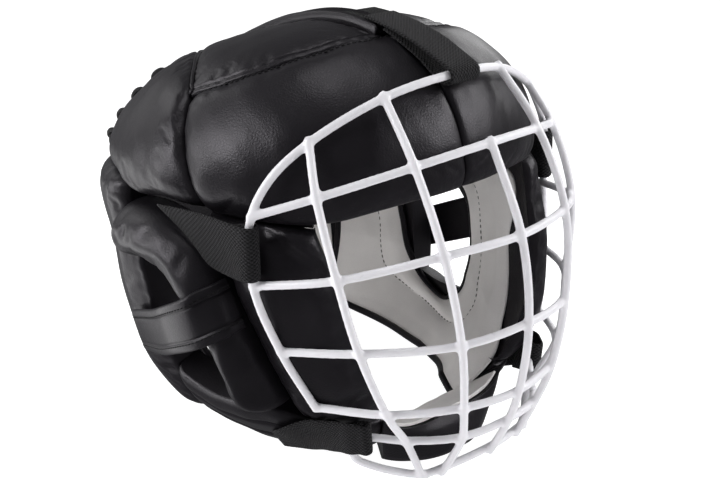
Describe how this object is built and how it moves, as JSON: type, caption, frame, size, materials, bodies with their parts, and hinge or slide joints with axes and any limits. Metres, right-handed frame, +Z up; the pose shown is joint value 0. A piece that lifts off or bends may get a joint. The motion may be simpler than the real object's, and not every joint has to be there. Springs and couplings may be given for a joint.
{
  "type": "martial arts grille helmet",
  "caption": "Padded leather headguard with ear openings, rear lacing and a removable coated wire face grille held on by webbing straps.",
  "frame": {"origin": "middle of the box round the object, at the surface that the rim stands on", "axes": "+Z up, -Y the way the wearer faces, +X the wearer's left"},
  "size_m": [0.2464, 0.282, 0.2228],
  "materials": {
    "leather": "black satin PU leather with a fine grain",
    "webbing": "black twill webbing, matte",
    "fuzz": "black loop fastener, matte and fuzzy",
    "suede": "light warm grey suede lining, matte",
    "cord": "black braided lace",
    "dipped_wire": "white plastic dip, satin"
  },
  "bodies": {
    "root": {"grille": "dipped_wire", "crown_strip": "leather", "loop_patch": "fuzz", "rear_centre": "leather", "chin_pad": "leather", "lining_nape": "suede", "chin_lining": "suede", "top_strap": "webbing", "forehead_left": "leather", "forehead_right": "leather", "crown_left": "leather", "crown_right": "leather", "rear_left": "leather", "rear_right": "leather", "lace_left": "cord", "lace_right": "cord", "nape_left": "leather", "nape_right": "leather", "ear_roll_left": "leather", "ear_roll_right": "leather", "cheek_left": "leather", "cheek_right": "leather", "jaw_left": "leather", "jaw_right": "leather", "ear_strap_left": "leather", "ear_strap_right": "leather", "lining_left": "suede", "lining_right": "suede", "side_strap_left": "webbing", "side_strap_right": "webbing", "chin_strap_left": "webbing", "chin_strap_right": "webbing"}
  },
  "joints": []
}
